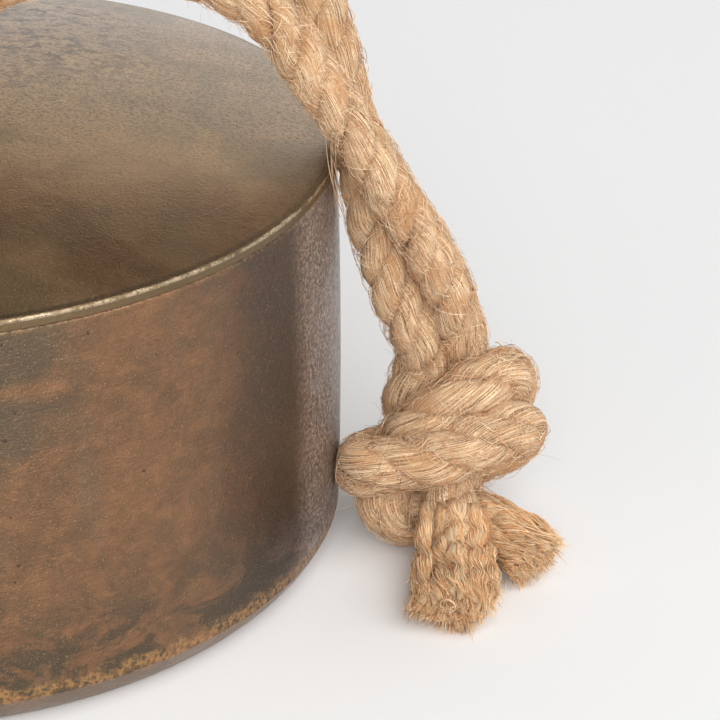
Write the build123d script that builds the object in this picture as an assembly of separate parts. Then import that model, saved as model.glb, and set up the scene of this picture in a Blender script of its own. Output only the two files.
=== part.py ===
"""A drum-shaped ship bell with a rope lanyard, standing on its mouth.

Millimetres. The origin is the centre of the mouth, on the surface that the bell stands on; +Z is up.
A turned skirt carries a low domed head. An eye bolt through the crown holds the rope outside and, in
a fork under its nuts, the clapper inside. The clapper is longer than the bell is deep, as it must be
to reach the wall, so with the bell standing its ball lies on the surface and the rod leans.
"""

import math
import os

from build123d import *

# Bell
SHOULDER_R = 152.4        # 12 in across the shoulder
SHOULDER_Z = 146.0        # height of the shoulder's edge
WALL_FOOT_R = 152.6       # where the wall ends and the lip's bevel begins
WALL_FOOT_Z = 11.8
WALL_BULGE = 1.0          # how far the wall swells at half height
LIP_R = 141.8             # outer edge of the ring that the bell stands on
LIP_INNER_R = 137.6
WALL = 7.0                # skirt thickness above the sound bow
BOW_WALL = 11.6           # thickness at the sound bow, near the mouth
BOW_Z = 24.0
BOW_TOP_Z = 62.0
SEAM_DROP = 4.0           # the head's edge is this tall
SEAM_GROOVE = 0.5
EDGE_ROUND = 1.1          # the shoulder's worn edge
DOME_RISE = 26.0
HEAD = 5.0                # thickness of the domed head
CROWN_PAD_R = 27.0
CROWN_PAD_Z = 175.0       # top of the cast pad on the crown
PAD_UNDER_R = 22.0
PAD_UNDER_Z = 163.0       # flat seat under the crown

# Crown fittings, on an M12 eye bolt
BOLT_R = 6.0
HOLE_R = 6.5              # clearance hole for the bolt
THREAD_GAP = 0.05         # nuts stand this far off the bolt, for the thread that isn't cut
EYE_INNER_R = 15.0
EYE_WIRE_R = 5.0
COLLAR_R = 11.0
COLLAR_H = 4.0
TOP_WASHER_R, TOP_WASHER_H = 20.0, 2.5
LOW_WASHER_R, LOW_WASHER_H = 15.0, 2.5
NUT_FLATS, NUT_H, JAM_H = 19.0, 8.0, 5.0

# Fork and clapper
FORK_R, FORK_H = 13.0, 12.0
FORK_EAR, FORK_GAP = 5.0, 9.0
EAR_R = 9.0
PIN_DROP = 9.5            # pin axis below the fork's body
PIN_R = 4.0
RUNNING_GAP = 0.06        # radial, clapper eye on its pin
PIN_HEAD_R, PIN_HEAD_H = 7.0, 3.0
PIN_END_Y = 15.0
PIN_WASHER_H = 1.2
SPLIT_Y = 12.4
SPLIT_R = 1.2
CLAPPER_EYE_R, CLAPPER_EYE_W = 9.0, 8.0
CLAPPER_L = 144.0         # pin axis to ball centre
ROD_TOP_R, ROD_R = 3.9, 5.5
STUD_R = 4.0              # the rod's threaded end, through the ball
BALL_R = 22.0
BALL_LIFT = 0.2           # gap under the ball
BALL_FLAT = 20.5          # flat on top of the ball, from its centre
NUT_SEAT = 15.0           # depth of the nut's pocket, from the ball's centre
NUT_POCKET_R = 9.0
BALL_NUT_FLATS, BALL_NUT_H = 13.0, 5.5

# Rope: 16 mm, three strands
ROPE_D = 16.0
ROPE_R = ROPE_D / 2
EYE_SAG = 6.0             # the rope lies low in the eye

# Heights worked out from those above
SEAM_Z = SHOULDER_Z - SEAM_DROP
APEX_Z = SHOULDER_Z + DOME_RISE
TOP_WASHER_Z = CROWN_PAD_Z
COLLAR_Z = TOP_WASHER_Z + TOP_WASHER_H
EYE_Z = COLLAR_Z + COLLAR_H + EYE_INNER_R + EYE_WIRE_R * 2 - 2.5
NUT_Z = PAD_UNDER_Z - LOW_WASHER_H - NUT_H
JAM_Z = NUT_Z - JAM_H
FORK_Z = JAM_Z - FORK_H
PIN_Z = FORK_Z - PIN_DROP
BOLT_END_Z = FORK_Z + 2.0
BALL_Z = BALL_R + BALL_LIFT
LEAN = math.degrees(math.acos((PIN_Z - BALL_Z) / CLAPPER_L))
ROPE_EYE_Z = EYE_Z - EYE_SAG

# The knot: its middle, the way the rope runs through it, and the way its long side lies
KNOT_AT = Vector(186.5, -42, 37.5)
KNOT_RUN = Vector(0, -0.6, -0.8)
KNOT_SIDE = Vector(0.894, 0.358, -0.268)
KNOT_CORE = 46.0          # length of the ropes inside the turns
WRAP_STRAIGHT = 30.0      # straight part of each turn round them
WRAP_R = 15.5             # bend of each turn, at the rope's centre
WRAP_STEP = 7.4           # each turn stands this far from the middle
WRAP_TILT = 18.0

knot_plane = Plane(origin=KNOT_AT, x_dir=KNOT_SIDE, z_dir=KNOT_RUN)


def in_knot(side, front, run):
    """A place in the knot: along its long side, out of its front and along the rope."""
    return knot_plane.from_local_coords(Vector(side, front, run))


# The two legs of the rope, from the middle of the eye to the top of the knot
FRONT_LEG = [
    (0, 0, ROPE_EYE_Z),
    (2, -24, 199),
    (22, -46, 212),
    (54, -54, 226),
    (90, -51, 225),
    (121, -47, 205),
    (141, -47, 181),
    (157, -46.5, 157),
    (169.3, -47, 132.5),
    (182.3, -41, 107),
    (190.5, -35, 85),
    (195.3, -29, 66),
    in_knot(8.4, 0, -KNOT_CORE / 2),
]
BACK_LEG = [
    (0, 0, ROPE_EYE_Z),
    (2, 24, 199.5),
    (20, 44, 216),
    (50, 47, 238),
    (88, 33, 246),
    (121, 14, 233),
    (142, -4, 208),
    (152, -18, 181),
    (157, -28, 155),
    (160, -33, 130),
    (164.8, -35, 107),
    (172.6, -35, 84),
    (177.3, -32, 67),
    in_knot(-8.4, 0, -KNOT_CORE / 2),
]
FRONT_TAIL = [in_knot(-1, 0, KNOT_CORE / 2), (183, -73, 14), (179, -92, 13), (176, -113, 13)]
SIDE_TAIL = [in_knot(12, 0, KNOT_CORE / 2 - 6), (203, -60, 13), (215, -85, 13)]


def at(r, z):
    """A point of a turned outline."""
    return Vector(r, 0, z)


def turned(*edges):
    """The solid that an outline sweeps round the bell's axis."""
    return revolve(Face(Wire(list(edges))), Axis.Z, 360)


def ring(outer_r, inner_r, height, z):
    """A flat ring standing on height z."""
    return Pos(0, 0, z) * extrude(Circle(outer_r) - Circle(inner_r), height)


def hex_nut(flats, bore_r, height, z):
    """A hexagonal nut with its corners turned off, standing on height z."""
    body = extrude(RegularPolygon(flats / 2, 6, major_radius=False), height)
    corner_r = flats / math.sqrt(3)
    slope = 0.12 * flats
    cone = turned(
        Line(at(0, 0), at(corner_r - slope / 2, 0)),
        Line(at(corner_r - slope / 2, 0), at(corner_r, slope / 3)),
        Line(at(corner_r, slope / 3), at(corner_r, height - slope / 3)),
        Line(at(corner_r, height - slope / 3), at(corner_r - slope / 2, height)),
        Line(at(corner_r - slope / 2, height), at(0, height)),
        Line(at(0, height), at(0, 0)),
    )
    return Pos(0, 0, z) * ((body & cone) - extrude(Circle(bore_r), height))


def bell_skirt():
    """The wall: a bevelled lip, a slight swell and a sound bow inside the mouth."""
    inner_r = SHOULDER_R - WALL
    bow_r = WALL_FOOT_R - BOW_WALL
    top = SEAM_Z
    return turned(
        Line(at(LIP_INNER_R, 0), at(LIP_R, 0)),
        ThreePointArc(
            at(LIP_R, 0),
            at((LIP_R + WALL_FOOT_R) / 2 + 0.9, WALL_FOOT_Z / 2 - 0.9),
            at(WALL_FOOT_R, WALL_FOOT_Z),
        ),
        ThreePointArc(
            at(WALL_FOOT_R, WALL_FOOT_Z),
            at((WALL_FOOT_R + SHOULDER_R) / 2 + WALL_BULGE, (WALL_FOOT_Z + top) / 2),
            at(SHOULDER_R, top - SEAM_GROOVE),
        ),
        Line(at(SHOULDER_R, top - SEAM_GROOVE), at(SHOULDER_R - SEAM_GROOVE, top)),
        Line(at(SHOULDER_R - SEAM_GROOVE, top), at(inner_r, top)),
        Line(at(inner_r, top), at(inner_r, BOW_TOP_Z)),
        Line(at(inner_r, BOW_TOP_Z), at(bow_r, BOW_Z)),
        Line(at(bow_r, BOW_Z), at(LIP_INNER_R, 0)),
    )


def head_plate():
    """The domed head, with its square edge, crown pad and bolt hole."""
    inner_r = SHOULDER_R - WALL
    cap_r = (SHOULDER_R**2 + DOME_RISE**2) / (2 * DOME_RISE)
    mid_r = SHOULDER_R / 2
    mid_z = APEX_Z - cap_r + math.sqrt(cap_r**2 - mid_r**2)
    edge_r = SHOULDER_R - EDGE_ROUND
    edge_z = APEX_Z - cap_r + math.sqrt(cap_r**2 - edge_r**2)
    rim = turned(
        Line(at(0, SEAM_Z), at(SHOULDER_R - SEAM_GROOVE, SEAM_Z)),
        Line(at(SHOULDER_R - SEAM_GROOVE, SEAM_Z), at(SHOULDER_R, SEAM_Z + SEAM_GROOVE)),
        Line(at(SHOULDER_R, SEAM_Z + SEAM_GROOVE), at(SHOULDER_R, SHOULDER_Z - EDGE_ROUND)),
        ThreePointArc(
            at(SHOULDER_R, SHOULDER_Z - EDGE_ROUND),
            at(SHOULDER_R - 0.2 * EDGE_ROUND, SHOULDER_Z - 0.2 * EDGE_ROUND),
            at(edge_r, edge_z),
        ),
        ThreePointArc(at(edge_r, edge_z), at(mid_r, mid_z), at(0, APEX_Z)),
        Line(at(0, APEX_Z), at(0, SEAM_Z)),
    )
    hollow_apex = APEX_Z - HEAD
    hollow_rise = hollow_apex - SEAM_Z
    hollow_cap = (inner_r**2 + hollow_rise**2) / (2 * hollow_rise)
    hollow_mid = hollow_apex - hollow_cap + math.sqrt(hollow_cap**2 - (inner_r / 2) ** 2)
    hollow = turned(
        Line(at(0, SEAM_Z), at(inner_r, SEAM_Z)),
        ThreePointArc(at(inner_r, SEAM_Z), at(inner_r / 2, hollow_mid), at(0, hollow_apex)),
        Line(at(0, hollow_apex), at(0, SEAM_Z)),
    )
    pad_height = CROWN_PAD_Z - PAD_UNDER_Z
    pad = Pos(0, 0, PAD_UNDER_Z) * Cone(
        PAD_UNDER_R, CROWN_PAD_R, pad_height, align=(Align.CENTER, Align.CENTER, Align.MIN)
    )
    bore = Pos(0, 0, PAD_UNDER_Z) * extrude(Circle(HOLE_R), pad_height)
    return (rim - hollow) + pad - bore


def eye_bolt():
    """A forged eye with a collar, and its plain shank down through the crown."""
    shank_top = EYE_Z - EYE_INNER_R - EYE_WIRE_R
    shank = Pos(0, 0, BOLT_END_Z) * extrude(Circle(BOLT_R), shank_top - BOLT_END_Z)
    collar = Pos(0, 0, COLLAR_Z) * extrude(Circle(COLLAR_R), COLLAR_H)
    eye = Pos(0, 0, EYE_Z) * Rot(90, 0, 0) * Torus(EYE_INNER_R + EYE_WIRE_R, EYE_WIRE_R)
    return shank + collar + eye


def clapper_fork():
    """The fork that the clapper hangs in, screwed on the end of the bolt."""
    span = FORK_GAP + 2 * FORK_EAR
    body = Pos(0, 0, FORK_Z) * extrude(Circle(FORK_R), FORK_H)
    cheek = Pos(0, 0, PIN_Z) * Rot(90, 0, 0) * Cylinder(EAR_R, span)
    web = Pos(0, 0, (PIN_Z + FORK_Z) / 2) * Box(2 * EAR_R, span, FORK_Z - PIN_Z)
    gap = Pos(0, 0, FORK_Z - EAR_R - PIN_DROP / 2) * Box(
        3 * EAR_R, FORK_GAP, 2 * EAR_R + PIN_DROP
    )
    pin_hole = Pos(0, 0, PIN_Z) * Rot(90, 0, 0) * Cylinder(PIN_R + THREAD_GAP, 2 * span)
    bolt_hole = Pos(0, 0, BOLT_END_Z) * extrude(Circle(BOLT_R + THREAD_GAP), FORK_H)
    return body + ((cheek + web) - gap) - pin_hole - bolt_hole


def fork_pin():
    """A headed pin across the fork, drilled for its split pin."""
    outer_y = FORK_GAP / 2 + FORK_EAR
    shaft = Cylinder(PIN_R, PIN_END_Y + outer_y, align=(Align.CENTER, Align.CENTER, Align.MIN))
    head = Pos(0, 0, -PIN_HEAD_H) * Cylinder(
        PIN_HEAD_R, PIN_HEAD_H, align=(Align.CENTER, Align.CENTER, Align.MIN)
    )
    cross_hole = Pos(0, 0, SPLIT_Y + outer_y) * Rot(90, 0, 0) * Cylinder(SPLIT_R + THREAD_GAP, 3 * PIN_R)
    return Pos(0, -outer_y, PIN_Z) * Rot(-90, 0, 0) * (shaft + head - cross_hole)


def pin_washer():
    """The washer between the fork and the split pin."""
    flat = extrude(Circle(PIN_R + 3.0) - Circle(PIN_R + THREAD_GAP), PIN_WASHER_H)
    return Pos(0, FORK_GAP / 2 + FORK_EAR, PIN_Z) * Rot(-90, 0, 0) * flat


def split_pin():
    """A split pin through the fork pin, eye upwards, its legs spread below."""
    loop_r, wire_r = 1.6, 0.8
    stem = Pos(0, SPLIT_Y, PIN_Z - PIN_R) * extrude(Circle(SPLIT_R), 2 * PIN_R + wire_r)
    loop = Pos(0, SPLIT_Y, PIN_Z + PIN_R + wire_r + loop_r) * Rot(90, 0, 0) * Torus(loop_r, wire_r)
    foot = Pos(0, SPLIT_Y, PIN_Z - PIN_R)
    legs = [foot * Rot(0, 180 + lean, 0) * extrude(Circle(wire_r), 6.0) for lean in (-25, 25)]
    return stem + loop + legs[0] + legs[1]


def leaning(shape):
    """A clapper piece, made hanging from the origin, in its place on the pin."""
    return Pos(0, 0, PIN_Z) * Rot(0, LEAN, 0) * shape


def clapper_rod():
    """The rod: an eye on the fork pin, a slim taper and a threaded end through the ball."""
    eye = Rot(90, 0, 0) * Cylinder(CLAPPER_EYE_R, CLAPPER_EYE_W)
    flat_z = -(CLAPPER_L - BALL_FLAT)
    rod = turned(
        Line(at(0, -4), at(ROD_TOP_R, -4)),
        Line(at(ROD_TOP_R, -4), at(ROD_TOP_R, -12)),
        Line(at(ROD_TOP_R, -12), at(ROD_R, -26)),
        Line(at(ROD_R, -26), at(ROD_R + 0.8, flat_z)),
        Line(at(ROD_R + 0.8, flat_z), at(STUD_R, flat_z)),
        Line(at(STUD_R, flat_z), at(STUD_R, -CLAPPER_L - BALL_FLAT)),
        Line(at(STUD_R, -CLAPPER_L - BALL_FLAT), at(0, -CLAPPER_L - BALL_FLAT)),
        Line(at(0, -CLAPPER_L - BALL_FLAT), at(0, -4)),
    )
    bore = Rot(90, 0, 0) * Cylinder(PIN_R + RUNNING_GAP, 2 * CLAPPER_EYE_W)
    return leaning(eye + rod - bore)


def clapper_ball():
    """The ball, with a flat for the rod's shoulder and a pocket for its nut."""
    ball = Sphere(BALL_R)
    above = Pos(0, 0, BALL_FLAT) * extrude(Circle(BALL_R), BALL_R)
    pocket = Pos(0, 0, -BALL_R - NUT_SEAT) * extrude(Circle(NUT_POCKET_R), BALL_R)
    bore = Cylinder(STUD_R + THREAD_GAP, 3 * BALL_R)
    return leaning(Pos(0, 0, -CLAPPER_L) * (ball - above - pocket - bore))


def ball_nut():
    """The nut in the ball's pocket."""
    nut = hex_nut(BALL_NUT_FLATS, STUD_R + THREAD_GAP, BALL_NUT_H, -NUT_SEAT - BALL_NUT_H)
    return leaning(Pos(0, 0, -CLAPPER_L) * nut)


def bend_radii(route):
    """For each corner, the largest arc that its two runs leave room for."""
    corners = []
    for before, here, after in zip(route, route[1:], route[2:]):
        run_in = Vector(here) - Vector(before)
        run_out = Vector(after) - Vector(here)
        half_turn = math.radians(run_in.get_angle(run_out) / 2)
        corners.append(0.45 * min(run_in.length, run_out.length) / math.tan(half_turn))
    return corners


def rope(name, route):
    """A plain round rope along straight runs and tangent arcs."""
    corners = bend_radii(route)
    path = FilletPolyline(*route, radius=corners)
    start = Plane(origin=Vector(route[0]), z_dir=Vector(route[1]) - Vector(route[0]))
    solid = sweep(start * Circle(ROPE_R), path=path)
    ideal = math.pi * ROPE_R**2 * path.length
    print(name, "length", round(path.length, 1), "volume/ideal", round(solid.volume / ideal, 4))
    print("  bend radii", [round(corner, 1) for corner in corners])
    return solid


def rope_knot():
    """An overhand knot in the doubled rope: two turns round the pair of ropes."""
    half = WRAP_STRAIGHT / 2
    core = knot_plane.offset(-KNOT_CORE / 2) * extrude(SlotOverall(2 * ROPE_D + 2, ROPE_D), KNOT_CORE)
    loop = Wire(
        [
            Line((-half, WRAP_R), (half, WRAP_R)),
            ThreePointArc((half, WRAP_R), (half + WRAP_R, 0), (half, -WRAP_R)),
            Line((half, -WRAP_R), (-half, -WRAP_R)),
            ThreePointArc((-half, -WRAP_R), (-half - WRAP_R, 0), (-half, WRAP_R)),
        ]
    )
    section = Plane(origin=(-half, WRAP_R, 0), z_dir=(1, 0, 0)) * Circle(ROPE_R)
    turn = sweep(section, path=loop)
    tilt = Rot(0, WRAP_TILT, 0)
    for offset in (-WRAP_STEP, WRAP_STEP):
        core = core + knot_plane * tilt * Pos(0, 0, offset) * turn
    return core


SOLIDS = {
    "bell_skirt": bell_skirt,
    "head_plate": head_plate,
    "eye_bolt": eye_bolt,
    "crown_washer": lambda: ring(TOP_WASHER_R, HOLE_R, TOP_WASHER_H, TOP_WASHER_Z),
    "inner_washer": lambda: ring(LOW_WASHER_R, HOLE_R, LOW_WASHER_H, PAD_UNDER_Z - LOW_WASHER_H),
    "crown_nut": lambda: hex_nut(NUT_FLATS, BOLT_R + THREAD_GAP, NUT_H, NUT_Z),
    "jam_nut": lambda: hex_nut(NUT_FLATS, BOLT_R + THREAD_GAP, JAM_H, JAM_Z),
    "clapper_fork": clapper_fork,
    "fork_pin": fork_pin,
    "pin_washer": pin_washer,
    "split_pin": split_pin,
    "clapper_rod": clapper_rod,
    "clapper_ball": clapper_ball,
    "ball_nut": ball_nut,
    "rope_front_leg": lambda: rope("rope_front_leg", FRONT_LEG),
    "rope_back_leg": lambda: rope("rope_back_leg", BACK_LEG),
    "rope_knot": rope_knot,
    "rope_front_tail": lambda: rope("rope_front_tail", FRONT_TAIL),
    "rope_side_tail": lambda: rope("rope_side_tail", SIDE_TAIL),
}

os.makedirs("parts", exist_ok=True)
for node, make in SOLIDS.items():
    export_step(make(), f"parts/{node}.step")
print("eye centre z", EYE_Z, "rope in eye z", ROPE_EYE_Z, "pin z", PIN_Z, "lean", round(LEAN, 3))
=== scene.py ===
import math

import bpy
import numpy as np
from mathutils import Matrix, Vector


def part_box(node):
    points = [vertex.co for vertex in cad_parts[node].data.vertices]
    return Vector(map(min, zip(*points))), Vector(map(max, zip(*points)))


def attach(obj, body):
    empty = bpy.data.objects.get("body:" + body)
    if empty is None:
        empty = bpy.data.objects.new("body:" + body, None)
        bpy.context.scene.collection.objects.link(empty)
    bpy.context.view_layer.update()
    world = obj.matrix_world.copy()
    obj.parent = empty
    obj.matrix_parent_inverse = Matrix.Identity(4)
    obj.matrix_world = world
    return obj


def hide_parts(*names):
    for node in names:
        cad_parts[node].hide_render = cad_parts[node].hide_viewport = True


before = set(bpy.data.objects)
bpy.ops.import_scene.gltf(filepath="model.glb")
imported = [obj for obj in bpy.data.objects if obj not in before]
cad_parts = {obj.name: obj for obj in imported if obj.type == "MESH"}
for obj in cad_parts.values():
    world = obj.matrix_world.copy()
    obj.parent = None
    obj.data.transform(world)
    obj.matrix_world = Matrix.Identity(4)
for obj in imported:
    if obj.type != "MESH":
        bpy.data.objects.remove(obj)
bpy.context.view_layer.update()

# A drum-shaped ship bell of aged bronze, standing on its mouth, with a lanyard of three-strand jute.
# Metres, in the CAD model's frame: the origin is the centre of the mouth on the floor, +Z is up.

rng = np.random.default_rng(11)
MM = 0.001

# ---------------------------------------------------------------- camera

CAMERA_AT = (0.0, -1.07282, 0.58322)
CAMERA_YAW = 8.5885
CAMERA_PITCH = 26.1416
CAMERA_LENS = 168.197

camera = bpy.data.objects.new("camera", bpy.data.cameras.new("camera"))
camera.data.lens = CAMERA_LENS
camera.data.sensor_width = 36
camera.data.clip_start = 0.02
camera.data.clip_end = 50
camera.location = CAMERA_AT
camera.rotation_euler = (math.radians(90 - CAMERA_PITCH), 0, math.radians(-CAMERA_YAW))
bpy.context.scene.collection.objects.link(camera)
bpy.context.scene.camera = camera


# ---------------------------------------------------------------- material nodes


class Shader:
    """A material's node tree, built by short calls. A value may be a number, a colour or a socket."""

    def __init__(self, name):
        self.material = bpy.data.materials.new(name)
        self.material.use_nodes = True
        self.tree = self.material.node_tree
        self.tree.nodes.clear()
        self.out = self.tree.nodes.new("ShaderNodeOutputMaterial")

    def node(self, kind, values, **settings):
        made = self.tree.nodes.new("ShaderNode" + kind)
        for key, value in settings.items():
            setattr(made, key, value)
        for key, value in values.items():
            self.put(made.inputs[key], value)
        return made

    def put(self, socket, value):
        if isinstance(value, bpy.types.NodeSocket):
            self.tree.links.new(value, socket)
        elif isinstance(value, (tuple, list)) and len(value) == 3 and socket.type == "RGBA":
            socket.default_value = (*value, 1)
        else:
            socket.default_value = value

    def math(self, operation, a, b=0.0):
        return self.node("Math", {0: a, 1: b}, operation=operation).outputs[0]

    def product(self, a, b):
        return self.math("MULTIPLY", a, b)

    def above(self, value, low, high):
        """A share that is 0 up to low, 1 from high on and smooth between."""
        made = self.node(
            "MapRange",
            {"Value": value, "From Min": low, "From Max": high},
            interpolation_type="SMOOTHSTEP",
        )
        return made.outputs["Result"]

    def below(self, value, low, high):
        """A share that is 1 up to low, 0 from high on and smooth between."""
        return self.math("SUBTRACT", 1.0, self.above(value, low, high))

    def band(self, value, low, full, fading, gone):
        """A share that is 0 up to low, 1 from full to fading and 0 from gone on."""
        return self.product(self.above(value, low, full), self.below(value, fading, gone))

    def mix(self, share, a, b):
        return self.node("Mix", {0: share, 6: a, 7: b}, data_type="RGBA").outputs[2]

    def tint(self, colour, share, most, other):
        """The colour, drawn towards another by the share, and by no more than most of the way."""
        return self.mix(self.product(share, most), colour, other)

    def blend_value(self, share, a, b):
        return self.node("Mix", {0: share, 2: a, 3: b}, data_type="FLOAT").outputs[0]

    def stretched(self, vector, scale):
        return self.node("VectorMath", {0: vector, 1: scale}, operation="MULTIPLY").outputs[0]

    def noise(self, vector, scale, detail, rough, warp=0.0):
        made = self.node(
            "TexNoise",
            {
                "Vector": vector,
                "Scale": scale,
                "Detail": detail,
                "Roughness": rough,
                "Distortion": warp,
            },
        )
        return made.outputs["Fac"]

    def bump(self, height, distance, strength, normal=None):
        values = {"Height": height, "Distance": distance, "Strength": strength}
        if normal is not None:
            values["Normal"] = normal
        return self.node("Bump", values).outputs["Normal"]

    def finish(self, **values):
        inputs = {key.replace("_", " "): value for key, value in values.items()}
        surface = self.node("BsdfPrincipled", inputs)
        self.put(self.out.inputs["Surface"], surface.outputs[0])
        return self.material


# Colours of the wall
BROWN = (0.178, 0.097, 0.05)
RED_BROWN = (0.25, 0.126, 0.062)
COPPER = (0.36, 0.175, 0.08)
UMBER = (0.135, 0.075, 0.041)
DULL_BROWN = (0.2, 0.15, 0.1)
LINE_BROWN = (0.11, 0.068, 0.042)
SLATE_BROWN = (0.085, 0.075, 0.052)
DARK_OLIVE = (0.075, 0.06, 0.04)
ROPE_REFLECTION_DARK = (0.036, 0.024, 0.017)
OLIVE = (0.08, 0.071, 0.05)
RIM_REFLECTION_GREY = (0.33, 0.28, 0.25)
RIM_GLINT_GREY = (0.62, 0.55, 0.52)
HOLLOW_SHADE_BROWN = (0.05, 0.037, 0.03)
GOLD = (0.5, 0.27, 0.1)
LIP_REFLECTION_GREY = (0.24, 0.17, 0.125)
SEAM_GOLD = (0.46, 0.3, 0.15)
INSIDE_BROWN = (0.1, 0.075, 0.05)
GLINT = (0.5, 0.34, 0.18)
PIT_BLACK = (0.03, 0.02, 0.015)

# Colours of the head
HEAD_BROWN = (0.25, 0.148, 0.072)
HEAD_GOLD = (0.37, 0.235, 0.122)
STRAW = (0.45, 0.3, 0.15)
AMBER = (0.56, 0.37, 0.18)
BACKDROP_REFLECTION_BRONZE = (0.52, 0.385, 0.275)
SHADE_BROWN = (0.14, 0.09, 0.045)
GREEN_BRONZE = (0.2, 0.16, 0.085)
FLECK_BROWN = (0.1, 0.062, 0.034)
DOT_BROWN = (0.15, 0.1, 0.055)
SIDE_SHADE_BROWN = (0.15, 0.1, 0.05)
EDGE_WEAR_AND_HIGHLIGHT_GOLD = (0.66, 0.52, 0.35)

ROPE_SHADOW = (0.12, 0.055, 0.024)


def metal_places(shader):
    """Place in millimetres, with its three parts and the distance from the bell's axis."""
    here = shader.node("TexCoord", {}).outputs["Object"]
    here = shader.stretched(here, (1000, 1000, 1000))
    parts = shader.node("SeparateXYZ", {0: here})
    x, y, z = parts.outputs
    squares = shader.math("ADD", shader.product(x, x), shader.product(y, y))
    across = shader.math("SQRT", squares)
    return here, x, y, z, across


def skirt_bronze():
    """Brown patina with level streaks, dark blotches low down, a gold band over a lip painted
    grey-brown as a reflection of the floor, and more painted reflections and glints on the wall.

    Heights are in millimetres over the mouth. Places round the bell are angles from +X, in radians.
    """
    s = Shader("skirt_bronze")
    here, x, y, z, across = metal_places(s)
    round_bell = s.math("ARCTAN2", y, x)
    level = s.stretched(here, (0.7, 0.7, 1.0))
    turned = s.stretched(here, (0.06, 0.06, 1.6))
    upright = s.stretched(here, (1.0, 1.0, 0.25))
    cloud = s.noise(level, 0.04, 6, 0.62, 0.4)
    streak = s.noise(level, 0.16, 6, 0.66)
    line = s.noise(turned, 1.0, 3, 0.6)
    fine = s.noise(here, 1.0, 3, 0.6)
    speck = s.noise(here, 0.6, 5, 0.65)
    mottle = s.noise(here, 0.3, 5, 0.7, 0.3)

    # The ground all over the wall: two browns, with streaks, mottling, worn uprights and turned lines
    colour = s.mix(s.above(cloud, 0.32, 0.68), BROWN, RED_BROWN)
    colour = s.tint(colour, s.above(streak, 0.44, 0.66), 0.42, COPPER)
    colour = s.tint(colour, s.above(mottle, 0.42, 0.64), 0.4, UMBER)
    worn = s.above(s.noise(upright, 0.07, 5, 0.6), 0.5, 0.72)
    colour = s.tint(colour, worn, 0.3, DULL_BROWN)
    colour = s.tint(colour, s.above(line, 0.5, 0.75), 0.3, LINE_BROWN)

    # Dark patches: broken ones under the shoulder, and blotches over the lip
    broken = s.above(s.noise(level, 0.06, 5, 0.65, 0.5), 0.52, 0.66)
    high = s.product(s.above(z, 96, 130), broken)
    colour = s.tint(colour, high, 0.55, SLATE_BROWN)
    low = s.below(z, 20, 62)
    blotch = s.product(low, s.above(s.noise(level, 0.06, 5, 0.68, 0.6), 0.42, 0.53))
    colour = s.tint(colour, blotch, 0.85, DARK_OLIVE)

    # A dark upright zone at the right of the front, a painted reflection of the rope, and greenish
    # patches high up at its left
    painted_rope_reflection = s.band(round_bell, -0.98, -0.66, -0.6, -0.5)
    painted_rope_reflection = s.product(painted_rope_reflection, s.blend_value(s.above(z, 10, 60), 0.6, 1.0))
    colour = s.tint(colour, painted_rope_reflection, 0.8, ROPE_REFLECTION_DARK)
    green = s.product(s.below(round_bell, -1.4, -1.1), s.above(z, 60, 115))
    green = s.product(green, s.above(round_bell, -2.5, -1.9))
    green = s.product(green, s.above(s.noise(level, 0.05, 5, 0.65, 0.5), 0.36, 0.56))
    colour = s.tint(colour, green, 0.72, OLIVE)

    # The rim of the wall as seen from the front: grey as a painted reflection of the floor, with
    # painted glints and dark hollows of painted shade
    rim = s.band(round_bell, -0.62, -0.46, -0.2, 0.3)
    near_rim = s.band(round_bell, -0.9, -0.5, -0.2, 0.3)
    painted_rim_glint = s.above(s.noise(here, 0.8, 3, 0.6), 0.47, 0.56)
    hollow_shade = s.below(s.noise(here, 0.75, 3, 0.6, 0.4), 0.45, 0.52)
    colour = s.tint(colour, rim, 0.6, RIM_REFLECTION_GREY)
    colour = s.mix(s.product(painted_rim_glint, s.product(rim, 0.6)), colour, RIM_GLINT_GREY)
    colour = s.mix(s.product(hollow_shade, s.product(near_rim, 0.62)), colour, HOLLOW_SHADE_BROWN)

    # Gold where the wall turns into the lip, the lip painted grey as a reflection of the floor, the
    # seam's edge and the dark inside
    ragged = s.math("ADD", z, s.product(s.math("SUBTRACT", streak, 0.5), 20))
    gold = s.product(s.band(ragged, 9.5, 12.5, 14, 18.5), s.above(speck, 0.38, 0.6))
    colour = s.tint(colour, gold, 0.75, GOLD)
    colour = s.tint(colour, s.below(z, 10.3, 11.9), 0.8, LIP_REFLECTION_GREY)
    seam = s.product(s.above(z, 140.2, 141.8), s.above(speck, 0.4, 0.62))
    colour = s.tint(colour, seam, 0.35, SEAM_GOLD)
    inside = s.product(s.below(across, 146.2, 147.5), s.above(z, 1.0, 14.0))
    colour = s.tint(colour, inside, 0.7, INSIDE_BROWN)

    # Small painted glints, and pits
    glint = s.product(s.above(s.noise(here, 1.9, 2, 0.5), 0.58, 0.68), s.above(mottle, 0.36, 0.56))
    colour = s.tint(colour, glint, 0.4, GLINT)
    pits = s.above(s.noise(here, 0.33, 2, 0.5), 0.74, 0.78)
    colour = s.tint(colour, pits, 0.7, PIT_BLACK)

    grain = s.math("ADD", s.product(fine, 0.8), s.product(speck, 0.8))
    grain = s.math("ADD", grain, s.product(line, 0.35))
    grain = s.math("SUBTRACT", grain, pits)
    depth = s.blend_value(rim, 0.55, 1.7)
    normal = s.bump(s.noise(here, 0.05, 3, 0.5), 1.2 * MM, 0.5)
    normal = s.bump(s.product(grain, depth), 0.75 * MM, 0.9, normal)
    rough = s.blend_value(s.above(streak, 0.35, 0.7), 0.28, 0.42)
    rough = s.blend_value(s.product(blotch, 0.7), rough, 0.55)
    return s.finish(
        Base_Color=colour,
        Metallic=0.88,
        Roughness=rough,
        Normal=normal,
        Coat_Weight=0.25,
        Coat_Roughness=0.4,
    )


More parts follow.
